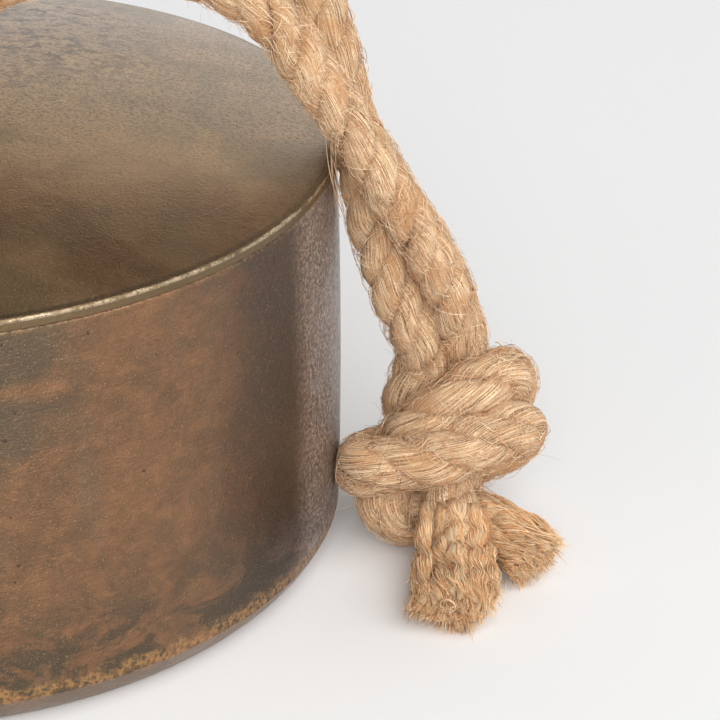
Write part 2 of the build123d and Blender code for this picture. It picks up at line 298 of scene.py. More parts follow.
def head_bronze():
    """The same bronze, lighter and grainier, with cast pitting, a worn edge with a painted highlight,
    and painted reflection and shade over the top.

    Places are in millimetres from the bell's axis: -Y is its front and +X the side of the knot.
    """
    s = Shader("head_bronze")
    here, x, y, z, across = metal_places(s)
    cloud = s.noise(here, 0.03, 5, 0.6, 0.5)
    streak = s.noise(here, 0.12, 6, 0.65)
    fine = s.noise(here, 1.0, 3, 0.6)
    speck = s.noise(here, 0.42, 5, 0.62)
    colour = s.mix(s.above(cloud, 0.36, 0.64), HEAD_BROWN, HEAD_GOLD)
    colour = s.tint(colour, s.above(streak, 0.48, 0.72), 0.5, STRAW)

    # Warmer over the middle, brighter behind with a painted reflection of the backdrop, darker in
    # front towards the knot's side with painted shade
    colour = s.tint(colour, s.band(y, -100, -50, 10, 80), 0.5, AMBER)
    colour = s.tint(colour, s.above(y, 10, 90), 0.7, BACKDROP_REFLECTION_BRONZE)
    front = s.product(s.below(y, -105, -60), s.above(x, 20, 110))
    corner = s.product(s.below(y, -65, -25), s.above(x, 100, 132))
    colour = s.tint(colour, s.math("MAXIMUM", front, corner), 0.5, SHADE_BROWN)
    green = s.above(s.noise(here, 0.024, 4, 0.55, 0.3), 0.46, 0.6)
    colour = s.tint(colour, green, 0.4, GREEN_BRONZE)

    # Cast pitting: ragged flecks on the back half, dots that grow stronger from front to back
    flecks = s.noise(s.stretched(here, (0.75, 1.0, 1.0)), 0.22, 4, 0.66, 0.3)
    pits = s.product(s.above(flecks, 0.5, 0.54), s.above(y, -50, 30))
    pits = s.product(pits, s.above(streak, 0.38, 0.52))
    pits = s.product(pits, s.below(x, 60, 115))
    colour = s.tint(colour, pits, 0.85, FLECK_BROWN)
    dot = s.above(s.noise(here, 0.85, 3, 0.62), 0.51, 0.57)
    dot = s.product(dot, s.blend_value(s.above(y, -100, -20), 0.08, 0.7))
    colour = s.mix(dot, colour, DOT_BROWN)

    # The worn edge is bright on top, partly wear and partly a painted highlight, and darker down its
    # side with painted shade
    ragged = s.math("ADD", across, s.product(s.math("SUBTRACT", streak, 0.5), 2.5))
    edge_wear_and_highlight = s.product(s.above(ragged, 151.9, 152.4), s.above(z, 144.5, 145.0))
    edge_wear_and_highlight = s.product(edge_wear_and_highlight, s.above(fine, 0.3, 0.55))
    side = s.above(across, 149.5, 150.8)
    colour = s.tint(colour, side, 0.8, SIDE_SHADE_BROWN)
    colour = s.tint(colour, edge_wear_and_highlight, 0.65, EDGE_WEAR_AND_HIGHLIGHT_GOLD)

    grain = s.math("ADD", s.product(fine, 0.9), s.product(speck, 0.6))
    grain = s.math("SUBTRACT", grain, s.product(dot, 1.1))
    depth = s.blend_value(s.above(y, -110, -30), 0.45, 1.0)
    normal = s.bump(s.noise(here, 0.04, 3, 0.5), 1.5 * MM, 0.4)
    normal = s.bump(s.product(grain, depth), 0.8 * MM, 0.9, normal)
    rough = s.blend_value(s.above(cloud, 0.3, 0.7), 0.28, 0.36)
    rough = s.blend_value(edge_wear_and_highlight, rough, 0.22)
    return s.finish(
        Base_Color=colour,
        Metallic=0.93,
        Roughness=rough,
        Normal=normal,
        Coat_Weight=0.22,
        Coat_Roughness=0.36,
    )


def plain_metal(name, dark, light, metallic, rough, grain_scale, grain_depth):
    """A hand-worn fitting: two tones, fine grain and uneven gloss."""
    s = Shader(name)
    here = metal_places(s)[0]
    cloud = s.noise(here, 0.16, 5, 0.6, 0.3)
    fine = s.noise(here, grain_scale, 4, 0.65)
    colour = s.mix(s.above(cloud, 0.35, 0.65), dark, light)
    colour = s.tint(colour, s.above(fine, 0.55, 0.7), 0.4, tuple(0.45 * part for part in dark))
    normal = s.bump(fine, grain_depth * MM, 0.6)
    uneven = s.blend_value(s.above(cloud, 0.3, 0.7), rough, min(1.0, rough + 0.16))
    return s.finish(Base_Color=colour, Metallic=metallic, Roughness=uneven, Normal=normal)


def jute(name, dark, mid, light, rust):
    """Dry plant fibre: long streaks along each yarn, light and dark hairs side by side."""
    s = Shader(name)
    laid = s.node("Attribute", {}, attribute_name="laid").outputs["Vector"]
    crest = s.node("Attribute", {}, attribute_name="crest").outputs["Fac"]
    hair = s.noise(s.stretched(laid, (1.0, 1.0, 0.045)), 3.4, 3, 0.6)
    lock = s.noise(s.stretched(laid, (1.0, 1.0, 0.09)), 0.75, 4, 0.6)
    patch = s.noise(s.stretched(laid, (0.2, 0.2, 0.5)), 0.12, 3, 0.5)
    thread = s.noise(s.stretched(laid, (1.0, 1.0, 0.03)), 1.5, 2, 0.5)
    colour = s.mix(s.above(hair, 0.41, 0.57), dark, light)
    colour = s.tint(colour, s.above(lock, 0.4, 0.62), 0.6, mid)
    colour = s.tint(colour, s.above(patch, 0.5, 0.64), 0.6, rust)
    colour = s.tint(colour, s.above(thread, 0.62, 0.66), 0.6, rust)
    # Painted shade where crest is low: deep in the grooves between strands and inside frayed locks,
    # and on randomly darker hairs
    colour = s.tint(colour, s.below(crest, 0.08, 0.8), 0.92, ROPE_SHADOW)
    normal = s.bump(s.math("ADD", hair, s.product(lock, 0.8)), 0.8 * MM, 0.8)
    return s.finish(
        Base_Color=colour,
        Roughness=0.82,
        Normal=normal,
        Sheen_Weight=0.1,
        Sheen_Roughness=0.6,
        Specular_IOR_Level=0.25,
    )


def pale_floor():
    s = Shader("pale_floor")
    return s.finish(Base_Color=(0.88, 0.88, 0.88), Roughness=0.7, Specular_IOR_Level=0.1)


ROPE_JUTE = jute(
    "jute",
    dark=(0.21, 0.1, 0.044),
    mid=(0.62, 0.38, 0.2),
    light=(0.92, 0.68, 0.43),
    rust=(0.56, 0.27, 0.105),
)
HAIR_JUTE = jute(
    "jute_hair",
    dark=(0.44, 0.21, 0.09),
    mid=(0.84, 0.54, 0.29),
    light=(1.0, 0.8, 0.54),
    rust=(0.7, 0.3, 0.1),
)
FRAY_JUTE = jute(
    "jute_fray",
    dark=(0.74, 0.37, 0.15),
    mid=(1.0, 0.66, 0.35),
    light=(1.0, 0.83, 0.55),
    rust=(0.88, 0.42, 0.15),
)

CAD_MATERIALS = {
    "bell_skirt": skirt_bronze(),
    "head_plate": head_bronze(),
    "eye_bolt": plain_metal(
        "forged_iron",
        dark=(0.05, 0.042, 0.036),
        light=(0.13, 0.11, 0.095),
        metallic=0.85,
        rough=0.42,
        grain_scale=0.5,
        grain_depth=0.3,
    ),
    "clapper_ball": plain_metal(
        "cast_iron",
        dark=(0.045, 0.038, 0.034),
        light=(0.12, 0.1, 0.085),
        metallic=0.8,
        rough=0.5,
        grain_scale=0.35,
        grain_depth=0.5,
    ),
    "crown_washer": plain_metal(
        "aged_brass",
        dark=(0.2, 0.13, 0.06),
        light=(0.46, 0.31, 0.15),
        metallic=0.9,
        rough=0.32,
        grain_scale=0.6,
        grain_depth=0.12,
    ),
    "crown_nut": plain_metal(
        "dull_steel",
        dark=(0.15, 0.14, 0.13),
        light=(0.38, 0.36, 0.33),
        metallic=0.9,
        rough=0.34,
        grain_scale=0.7,
        grain_depth=0.1,
    ),
}
SAME_AS = {
    "clapper_fork": "eye_bolt",
    "clapper_rod": "eye_bolt",
    "fork_pin": "crown_nut",
    "pin_washer": "crown_nut",
    "split_pin": "crown_nut",
    "ball_nut": "crown_nut",
    "jam_nut": "crown_nut",
    "inner_washer": "crown_washer",
}
for node, like in SAME_AS.items():
    CAD_MATERIALS[node] = CAD_MATERIALS[like]
for node, material in CAD_MATERIALS.items():
    for slot in bpy.data.objects[node].material_slots:
        slot.material = material


# ---------------------------------------------------------------- meshes


def unit(v):
    return v / np.linalg.norm(v, axis=-1, keepdims=True)


def tubes(centres, outward, radii, sides, laid, crest=1.0):
    """Closed tubes, one for each row of centres. outward starts each ring; radii may differ round it.

    centres and outward are (tubes, rings, 3) and radii is (tubes, rings, sides). The material reads
    two more: laid, its own coordinates, (tubes, rings, sides, 3), and crest, from 0 deep in the rope
    to 1 on it, which it turns into painted shade where low.
    """
    count, rings, _ = centres.shape
    tangent = unit(np.gradient(centres, axis=1))
    first = unit(outward - tangent * np.sum(outward * tangent, axis=-1, keepdims=True))
    second = np.cross(tangent, first)
    turn = np.arange(sides) / sides * 2 * math.pi
    spoke = (
        np.cos(turn)[None, None, :, None] * first[:, :, None, :]
        + np.sin(turn)[None, None, :, None] * second[:, :, None, :]
    )
    verts = centres[:, :, None, :] + radii[..., None] * spoke
    index = np.arange(count * rings * sides).reshape(count, rings, sides)
    a, b = index[:, :-1], index[:, 1:]
    quads = np.stack([a, np.roll(a, -1, axis=2), np.roll(b, -1, axis=2), b], axis=-1)
    ends = [list(cap[::-1]) for cap in index[:, 0]] + [list(cap) for cap in index[:, -1]]
    crest = np.broadcast_to(crest, radii.shape)
    return verts.reshape(-1, 3), quads.reshape(-1, 4), ends, laid.reshape(-1, 3), crest.ravel()


def piece(name, parts, material):
    """One object from several tubes() results, riding on the bell."""
    verts, faces, laid, crest, first = [], [], [], [], 0
    for part_verts, quads, ends, part_laid, part_crest in parts:
        verts.append(part_verts)
        laid.append(part_laid)
        crest.append(part_crest)
        faces += (quads + first).tolist()
        faces += [[first + int(i) for i in end] for end in ends]
        first += len(part_verts)
    mesh = bpy.data.meshes.new(name)
    mesh.from_pydata(np.concatenate(verts).tolist(), [], faces)
    coordinates = mesh.attributes.new("laid", "FLOAT_VECTOR", "POINT")
    coordinates.data.foreach_set("vector", np.concatenate(laid).astype(np.float32).ravel())
    heights = mesh.attributes.new("crest", "FLOAT", "POINT")
    heights.data.foreach_set("value", np.concatenate(crest).astype(np.float32))
    mesh.polygons.foreach_set("use_smooth", [True] * len(mesh.polygons))
    mesh.materials.append(material)
    mesh.update()
    made = bpy.data.objects.new(name, mesh)
    bpy.context.scene.collection.objects.link(made)
    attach(made, "bell")
    return made


# ---------------------------------------------------------------- rope

ROPE_LAY = 0.045          # one turn of a strand round the rope
STRANDS = 3
STRAND_OUT = 0.0042       # from the rope's middle to a strand's
STRAND_R = 0.0045         # its radius outward
STRAND_WIDE = 0.0051      # its radius across, wider because it is pressed flat by its neighbours
YARNS = 9                 # ridges round a strand
STRAND_SIDES = 36
STEP = 0.001              # the whole rope is counted in steps of this length

TURN_STRAY = 0.3          # radians by which a strand strays from its even turn,
TURN_STEPS = 22           # with a new stray in every so many steps
SIZE_STRAY = 0.1          # the share by which its radius strays,
SIZE_STEPS = 12           # likewise

HAIR_GAP = 0.0003         # least gaps to the floor and the wall: a hair's,
FRAY_GAP = 0.0004         # a frayed fibre's
CORE_GAP = 0.0014         # and the middle of a frayed lock's
SHOULDER_EDGE = 0.002     # the wall holds fibres off up to this much below its top,
WALL_REACH = 0.13         # and only those farther than this from the bell's axis
SEEDS = 900               # hairs begin at random places in the material, up to this, in mm
LYING_HAIRS = 1200        # on each piece of loose fibre
FLY_HAIRS = 900
FRONT_TO_KNOT = 0.345     # from the eye along each leg to where the knot's loose fibre takes over
BACK_TO_KNOT = 0.375

# The rope's thickness, as a share of the plain one: in the legs, what the knot adds, and at the cuts
LEG_SHARE = 1.03
KNOT_ADDS = 0.15
KNOT_BEGINS = 0.335       # from the eye
KNOT_RAMP = 0.02
CUT_SHARE = 0.42
CUT_TO_FULL = 0.58        # what comes back over the length of the frayed end

FRONT_OPEN = 0.056        # length of each frayed end
SIDE_OPEN = 0.040
CUT_BACK = 3              # steps by which the strands stop inside their frayed ends
FRAY_RINGS = 15
LOCK_FIBRES = 100
LOCK_SIDES = 10
LOCK_R = 0.0029           # where a lock of fibres starts
LOCK_WIDENS = 0.0005      # by its cut

# The legs as in the CAD model, then each rope's own way through an overhand knot and out as a tail
FRONT_ROUTE = [
    (0, 0, 0.198),
    (0.002, -0.024, 0.199),
    (0.022, -0.046, 0.212),
    (0.054, -0.054, 0.226),
    (0.090, -0.051, 0.225),
    (0.1245, -0.047, 0.205),
    (0.1385, -0.047, 0.181),
    (0.1545, -0.0465, 0.157),
    (0.1675, -0.047, 0.1325),
    (0.1823, -0.041, 0.107),
    (0.1905, -0.035, 0.085),
    (0.1953, -0.029, 0.066),
    (0.193, -0.031, 0.054),
    (0.189, -0.036, 0.038),
    (0.194, -0.037, 0.026),
    (0.205, -0.038, 0.030),
    (0.2135, -0.045, 0.043),
    (0.202, -0.056, 0.046),
    (0.183, -0.058, 0.041),
    (0.166, -0.0535, 0.0365),
    (0.1555, -0.0515, 0.034),
    (0.1555, -0.041, 0.031),
    (0.166, -0.029, 0.027),
    (0.180, -0.021, 0.030),
    (0.189, -0.016, 0.037),
    (0.196, -0.015, 0.040),
    (0.195, -0.026, 0.030),
    (0.189, -0.042, 0.0235),
    (0.186, -0.0555, 0.020),
    (0.184, -0.070, 0.0125),
    (0.181, -0.087, 0.0095),
    (0.176, -0.111, 0.0095),
]
BACK_ROUTE = [
    (0, 0, 0.198),
    (0.002, 0.024, 0.1995),
    (0.020, 0.044, 0.216),
    (0.050, 0.047, 0.238),
    (0.088, 0.033, 0.246),
    (0.121, 0.014, 0.233),
    (0.1405, -0.004, 0.208),
    (0.150, -0.018, 0.181),
    (0.155, -0.028, 0.155),
    (0.1595, -0.033, 0.130),
    (0.1642, -0.035, 0.107),
    (0.1726, -0.035, 0.084),
    (0.183, -0.028, 0.067),
    (0.176, -0.026, 0.050),
    (0.177, -0.027, 0.036),
    (0.189, -0.024, 0.028),
    (0.199, -0.022, 0.031),
    (0.209, -0.025, 0.040),
    (0.2115, -0.031, 0.058),
    (0.201, -0.042, 0.061),
    (0.188, -0.048, 0.0545),
    (0.176, -0.046, 0.047),
    (0.171, -0.041, 0.036),
    (0.165, -0.044, 0.027),
    (0.163, -0.046, 0.0175),
    (0.170, -0.047, 0.0105),
    (0.180, -0.047, 0.0135),
    (0.193, -0.049, 0.012),
    (0.2015, -0.0595, 0.0135),
    (0.207, -0.0715, 0.0115),
    (0.2125, -0.084, 0.0105),
]


def spline_line(name, route):
    """The NURBS line of a route's control points, read back as points one step apart."""
    curve = bpy.data.curves.new(name, "CURVE")
    curve.dimensions = "3D"
    curve.resolution_u = 32
    spline = curve.splines.new("NURBS")
    spline.points.add(len(route) - 1)
    for point, place in zip(spline.points, route):
        point.co = (*place, 1)
    spline.order_u = 3
    spline.use_endpoint_u = True
    holder = bpy.data.objects.new(name, curve)
    read = bpy.data.meshes.new_from_object(holder)
    line = np.array([v.co[:] for v in read.vertices])
    bpy.data.meshes.remove(read)
    bpy.data.objects.remove(holder)
    bpy.data.curves.remove(curve)
    along = np.concatenate([[0], np.cumsum(np.linalg.norm(np.diff(line, axis=0), axis=1))])
    even = np.linspace(0, along[-1], round(along[-1] / STEP) + 1)
    return np.stack([np.interp(even, along, line[:, axis]) for axis in range(3)], axis=1)


def carried_side(line):
    """The line's own direction, and one square to it that is carried along without twist."""
    tangent = unit(np.gradient(line, axis=0))
    off_the_line = (0.3, 0.2, 1.0)
    side = np.zeros_like(line)
    side[0] = unit(np.cross(tangent[0], off_the_line))
    for i in range(1, len(line)):
        side[i] = unit(side[i - 1] - tangent[i] * np.dot(side[i - 1], tangent[i]))
    return tangent, side


def smooth_random(count, every):
    """Random values from -1 to 1 that change smoothly, one new value in every so many."""
    knots = rng.uniform(-1, 1, count // every + 3)
    at = np.arange(count) / every
    low = at.astype(int)
    share = at - low
    share = share * share * (3 - 2 * share)
    return knots[low] * (1 - share) + knots[low + 1] * share


def pressed(angle):
    """How far out a strand's skin is, at an angle round the strand, as a share of its radius."""
    return 1 / np.sqrt(np.cos(angle) ** 2 + (np.sin(angle) * STRAND_R / STRAND_WIDE) ** 2)


class Strand:
    """One strand's middle and its own cross directions along a whole rope."""

    def __init__(self, line, tangent, side, number, thickness):
        up = np.cross(tangent, side)
        along = np.arange(len(line)) * STEP
        turn = along / ROPE_LAY * 2 * math.pi + number / STRANDS * 2 * math.pi
        turn = turn + TURN_STRAY * smooth_random(len(line), TURN_STEPS)
        self.out = np.cos(turn)[:, None] * side + np.sin(turn)[:, None] * up
        self.middle = line + self.out * (STRAND_OUT * thickness)[:, None]
        self.radius = STRAND_R * thickness * (1 + SIZE_STRAY * smooth_random(len(line), SIZE_STEPS))
        self.tangent = unit(np.gradient(self.middle, axis=0))
        out = self.out - self.tangent * np.sum(self.out * self.tangent, axis=1, keepdims=True)
        self.out = unit(out)
        self.across = np.cross(self.tangent, self.out)
        self.number = number
        self.line = line
        self.reach = (STRAND_OUT + STRAND_R) * thickness

    def surface(self, at, round_angle, lift):
        """Points on the strand, at fractional steps along it, lifted off its surface."""
        at = np.clip(at, 0, len(self.middle) - 1.001)
        low = at.astype(int)
        share = (at - low)[..., None]

        def between(values):
            return values[low] * (1 - share) + values[low + 1] * share

        out, across = between(self.out), between(self.across)
        spoke = np.cos(round_angle)[..., None] * out + np.sin(round_angle)[..., None] * across
        radius = between(self.radius[:, None]) * pressed(round_angle)[..., None] + lift[..., None]
        return between(self.middle) + spoke * radius, spoke


# The angle by which a yarn turns round its strand in one step
YARN_TURN = (STRAND_OUT + STRAND_R) / STRAND_R * 2 * math.pi / ROPE_LAY * STEP


def strand_tube(strand, start, stop):
    """The strand's own skin between two steps, with its yarns as ridges."""
    count = stop - start
    steps = np.arange(start, stop)
    turn = np.arange(STRAND_SIDES) / STRAND_SIDES * 2 * math.pi
    own = turn[None, :] + steps[:, None] * YARN_TURN
    lean = 0.5 * smooth_random(len(strand.middle), 25)[start:stop, None]
    ridge = np.abs(np.cos((own * YARNS + lean) / 2)) ** 0.7
    second = np.abs(np.cos(own * YARNS * 1.5 + 2.1))
    radii = strand.radius[start:stop, None] * pressed(turn) * (0.94 + 0.07 * ridge + 0.02 * second)
    radii = radii * (1 + 0.012 * rng.standard_normal(radii.shape))
    r_mm = STRAND_R / MM
    apart_mm = 40 * strand.number
    laid = np.stack(
        [
            r_mm * np.cos(own) + apart_mm,
            r_mm * np.sin(own),
            np.broadcast_to(steps[:, None] * STEP / MM, own.shape),
        ],
        axis=-1,
    )
    middle = strand.middle[None, start:stop]
    out = strand.out[None, start:stop]
    made = tubes(middle, out, radii[None], STRAND_SIDES, laid[None])
    from_middle = made[0].reshape(count, STRAND_SIDES, 3) - strand.line[start:stop, None]
    crest = np.linalg.norm(from_middle, axis=-1) / strand.reach[start:stop, None]
    return (*made[:4], np.clip((crest - 0.55) / 0.4, 0, 1).ravel())


def clear_of_things(points, gap):
    """Points moved out of the floor and of the bell's wall, to a gap from each."""
    points[..., 2] = np.maximum(points[..., 2], gap)
    skirt_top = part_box("bell_skirt")[1]
    wall = skirt_top[0] + gap
    reach = np.hypot(points[..., 0], points[..., 1])
    beside = (points[..., 2] < skirt_top[2] - SHOULDER_EDGE) & (reach < wall) & (reach > WALL_REACH)
    push = np.where(beside, wall / reach, 1.0)
    points[..., 0] *= push
    points[..., 1] *= push
    return points


def hairs(points, radius, tone_and_shade=None):
    """Thin three-sided tubes, tapered to both ends, each with its own place in the material."""
    count, rings, _ = points.shape
    seed = rng.uniform(0, SEEDS, count)
    taper = np.sin(np.linspace(0.12, math.pi - 0.12, rings)) ** 0.4
    radii = radius[:, None, None] * taper[None, :, None] * np.ones((1, 1, 3))
    outward = np.broadcast_to(unit(rng.standard_normal((count, 1, 3))), points.shape)
    along = np.cumsum(np.linalg.norm(np.diff(points, axis=1, prepend=points[:, :1]), axis=2), axis=1)
    laid = np.empty((count, rings, 3, 3))
    laid[..., 0] = seed[:, None, None]
    laid[..., 1] = 3 * seed[:, None, None]
    laid[..., 2] = along[:, :, None] / MM
    if tone_and_shade is None:
        tone_and_shade = 1 - 0.55 * rng.uniform(0, 1, count) ** 2
    return tubes(points, outward, radii, 3, laid, tone_and_shade[:, None, None])


def lying_hairs(strands, first, last, count):
    """Fibres that run along the yarns, a hair's breadth off the surface."""
    t = np.linspace(0, 1, 7)
    n = count // len(strands)
    made = []
    for strand in strands:
        start = rng.uniform(first, last, n)
        length = rng.uniform(7, 22, n)
        at = start[:, None] + length[:, None] * t
        begin = rng.uniform(0, 2 * math.pi, n)
        drift = rng.normal(0, 0.035, n)
        angle = begin[:, None] - (YARN_TURN + drift)[:, None] * (at - start[:, None])
        angle = angle + 0.12 * np.sin(rng.uniform(0, 6, n)[:, None] + 5 * t)
        loose = rng.uniform(0, 1, n) ** 3
        lift = 0.00002 + 0.0011 * loose[:, None] * np.sin(math.pi * t) ** 2
        ends = np.abs(2 * t - 1) ** 6
        lift = lift + 0.0012 * ends * (rng.uniform(0, 1, n) ** 2)[:, None]
        points, _ = strand.surface(at, angle, lift)
        radius = rng.uniform(0.00006, 0.00014, n)
        made.append(hairs(clear_of_things(points, HAIR_GAP), radius))
    return made


def matted_hairs(line, tangent, side, thickness, first, last, count):
    """Fibres that have worked loose and lie any way over the rope, bridging its grooves."""
    up = np.cross(tangent, side)
    t = np.linspace(0, 1, 8)
    start = rng.uniform(first, last, count)
    length = rng.uniform(5, 17, count)
    slant = np.tan(rng.normal(0, 0.75, count).clip(-1.3, 1.3))
    at = start[:, None] + length[:, None] * (t - 0.5) / np.sqrt(1 + slant**2)[:, None]
    at = np.clip(at, 0, len(line) - 1.001)
    low = at.astype(int)
    share = (at - low)[..., None]
    angle = rng.uniform(0, 2 * math.pi, count)[:, None]
    angle = angle + (at - start[:, None]) * slant[:, None] * STEP / 0.0085
    phase = rng.uniform(0, 6, count)[:, None]
    angle = angle + 0.22 * np.sin(phase + rng.uniform(2, 7, count)[:, None] * t)
    high = 0.93 + 0.2 * rng.uniform(0, 1, count) ** 2
    high = high[:, None] - 0.12 * np.abs(2 * t - 1) ** 3
    high = high * (STRAND_OUT + STRAND_R) * thickness[low]

    def between(values):
        return values[low] * (1 - share) + values[low + 1] * share

    spoke = np.cos(angle)[..., None] * between(side) + np.sin(angle)[..., None] * between(up)
    points = between(line) + spoke * high[..., None]
    radius = rng.uniform(0.00006, 0.00015, count)
    return hairs(clear_of_things(points, HAIR_GAP), radius)


def fly_hairs(strands, first, last, count):
    """Loose ends that stand off the rope and curl."""
    t = np.linspace(0, 1, 7)
    n = count // len(strands)
    made = []
    for strand in strands:
        start = rng.uniform(first, last, n)
        angle = rng.uniform(-2.2, 2.2, n)
        root, spoke = strand.surface(start, angle, np.full(n, -0.0003))
        low = np.clip(start.astype(int), 0, len(strand.middle) - 1)
        ahead = strand.tangent[low] * rng.choice([-1, 1], n)[:, None]
        wander = unit(rng.standard_normal((n, 3)))
        length = rng.uniform(0.002, 0.0065, n) * (1 + 1.2 * (rng.uniform(0, 1, n) > 0.95))
        go = unit(spoke * rng.uniform(0.15, 0.7, n)[:, None] + ahead + 0.35 * wander)
        bend = unit(rng.standard_normal((n, 3))) * rng.uniform(0.1, 0.6, n)[:, None]
        points = (
            root[:, None, :]
            + (length[:, None] * t)[..., None] * go[:, None, :]
            + (length[:, None] * t**2)[..., None] * bend[:, None, :]
        )
        sway = unit(np.cross(go, wander))
        curl = rng.uniform(0.0003, 0.0013, n)[:, None] * t
        curl = curl * np.sin(rng.uniform(3, 9, n)[:, None] * t)
        points = points + curl[..., None] * sway[:, None, :]
        radius = rng.uniform(0.00003, 0.00006, n)
        made.append(hairs(clear_of_things(points, HAIR_GAP), radius))
    return made


def hanging_fibres():
    """A few long reddish fibres beside the front leg, over the bell's shoulder."""
    count = 6
    t = np.linspace(0, 1, 12)
    root = np.array([0.1445, -0.0530, 0.1630]) + rng.normal(0, 0.0012, (count, 3))
    tip = np.array([0.1478, -0.0545, 0.1310]) + rng.normal(0, 0.0012, (count, 3))
    sag = np.array([0.0014, 0.0006, 0])
    points = root[:, None, :] + (tip - root)[:, None, :] * t[None, :, None]
    points = points - sag * np.sin(math.pi * t)[None, :, None]
    return hairs(points, np.full(count, 0.0002), np.full(count, 0.45))


def lock_fibres(centre, side, over, t, lock_r):
    """A lock's fibres: twisted round its middle, rippled and unevenly cut, and a few astray."""
    count = LOCK_FIBRES
    begin = rng.uniform(0, 2 * math.pi, count)
    outness = np.sqrt(rng.uniform(0.3, 1, count))
    twist = rng.uniform(3.0, 8.0)
    flare = 1 + 0.3 * t[None, :] ** 4 * rng.uniform(0, 1, count)[:, None]
    turn = begin[:, None] + twist * t[None, :]
    offset = outness[:, None] * lock_r[None, :] * flare
    points = (
        centre[None]
        + side[None] * (offset * np.cos(turn))[..., None]
        + over[None] * (offset * np.sin(turn))[..., None]
    )
    phase = rng.uniform(0, 6.3, count)[:, None]
    ripple = 0.0003 * np.sin(phase + rng.uniform(8, 22, count)[:, None] * t)
    points = points + ripple[..., None] * unit(rng.standard_normal((count, 3)))[:, None, :]
    stray = unit(rng.standard_normal((count, 3)))
    stray = stray * (rng.uniform(0, 1, count) ** 5 * 0.005)[:, None]
    points = points + stray[:, None, :] * (t**2)[None, :, None]
    cut = rng.uniform(0.965, 1.02, count)[:, None, None]
    points = points[:, :1] + (points - points[:, :1]) * cut
    # Fibres deep in the lock get painted shade; the rest of their tone differs at random
    tone_and_shade = np.clip(1.4 * outness**2 - 0.15 + rng.uniform(-0.35, 0.3, count), 0.34, 1)
    radius = rng.uniform(0.0001, 0.0002, count)
    return hairs(clear_of_things(points, FRAY_GAP), radius, tone_and_shade)


def lock_core(centre, over, t, lock_r, number, opened):
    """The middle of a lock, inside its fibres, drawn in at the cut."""
    ragged = 1 + 0.12 * rng.standard_normal((1, len(t), LOCK_SIDES))
    radii = (lock_r * (1 - 0.8 * t**9))[None, :, None] * 0.88 * ragged
    around = np.arange(LOCK_SIDES) / LOCK_SIDES * 2 * math.pi
    laid = np.zeros((1, len(t), LOCK_SIDES, 3))
    laid[..., 0] = 37.0 * number + 1.5 * np.cos(around)
    laid[..., 1] = 1.5 * np.sin(around)
    laid[..., 2] = (t * opened / MM)[None, :, None]
    # A crest of 0.45 gives the core painted shade, inside its fibres
    return tubes(clear_of_things(centre[None], CORE_GAP), over[None], radii, LOCK_SIDES, laid, 0.45)


def frayed_end(line, opened, widths, heights, locks):
    """The rope's cut end: its yarns untwisted into wavy locks of fibre that fan out on the floor.

    widths and heights are half the brush's, where it opens and at its cut.
    """
    end = len(line) - 1
    begin = end - round(opened / STEP)
    t = np.linspace(0, 1, FRAY_RINGS)
    middle = line[(begin + t * (end - begin)).astype(int)]
    ahead = unit(np.gradient(middle, axis=0))
    side = unit(np.cross(ahead, (0, 0, 1.0)))
    over = np.cross(side, ahead)
    width = widths[0] + (widths[1] - widths[0]) * t**0.8
    height = heights[0] + (heights[1] - heights[0]) * t
    golden = math.pi * (3 - math.sqrt(5))
    made = []
    for lock in range(locks):
        spread = math.sqrt((lock + 0.5) / locks)
        a = spread * math.cos(golden * lock) + rng.normal(0, 0.05)
        b = spread * math.sin(golden * lock) + rng.normal(0, 0.05)
        begin_share = rng.uniform(0.0, 0.3)
        reach = rng.uniform(0.93, 1.0) - 0.07 * spread**2
        wave = rng.uniform(0, 6.3)
        quick = rng.uniform(0.15, 0.48) * opened / MM
        swing = 0.001 * np.minimum(1, 3 * t)
        centre = (
            middle
            + side * (a * width + swing * np.sin(wave + quick * t))[:, None]
            + over * (b * height + swing * np.cos(wave + quick * t))[:, None]
        )
        first = centre[0] + (centre[4] - centre[0]) * begin_share
        narrowed = np.linspace(1 - begin_share, 1, FRAY_RINGS)[:, None]
        centre = first + (centre - centre[0]) * reach * narrowed
        lock_r = (LOCK_R + LOCK_WIDENS * t) * rng.uniform(0.85, 1.2)
        made.append(lock_fibres(centre, side, over, t, lock_r))
        made.append(lock_core(centre, over, t, lock_r, lock, opened))
    return made


front_line = spline_line("front_route", FRONT_ROUTE)
back_line = spline_line("back_route", BACK_ROUTE)

# One whole rope, from the side end over the eye to the front end
whole = np.concatenate([back_line[::-1], front_line[1:]])
eye_step = len(back_line) - 1
last_step = len(whole)
tangent, side = carried_side(whole)
steps = np.arange(last_step)
to_end = np.minimum(steps * STEP / SIDE_OPEN, (last_step - 1 - steps) * STEP / FRONT_OPEN)
in_knot = np.clip((np.abs(steps - eye_step) * STEP - KNOT_BEGINS) / KNOT_RAMP, 0, 1)
thickness = (LEG_SHARE + KNOT_ADDS * in_knot) * (CUT_SHARE + CUT_TO_FULL * np.clip(to_end, 0, 1))
strands = [Strand(whole, tangent, side, number, thickness) for number in range(STRANDS)]

back_tubes = [strand_tube(s, CUT_BACK, eye_step + 1) for s in strands]
rope_back = piece("rope_back", back_tubes, ROPE_JUTE)
front_tubes = [strand_tube(s, eye_step, last_step - CUT_BACK) for s in strands]
rope_front = piece("rope_front", front_tubes, ROPE_JUTE)

front_fray = frayed_end(
    front_line, FRONT_OPEN, widths=(0.0130, 0.0147), heights=(0.0074, 0.0070), locks=20
)
front_end = piece("rope_front_fray", front_fray, FRAY_JUTE)
side_fray = frayed_end(
    back_line, SIDE_OPEN, widths=(0.0084, 0.0098), heights=(0.0068, 0.0070), locks=12
)
side_end = piece("rope_side_fray", side_fray, FRAY_JUTE)

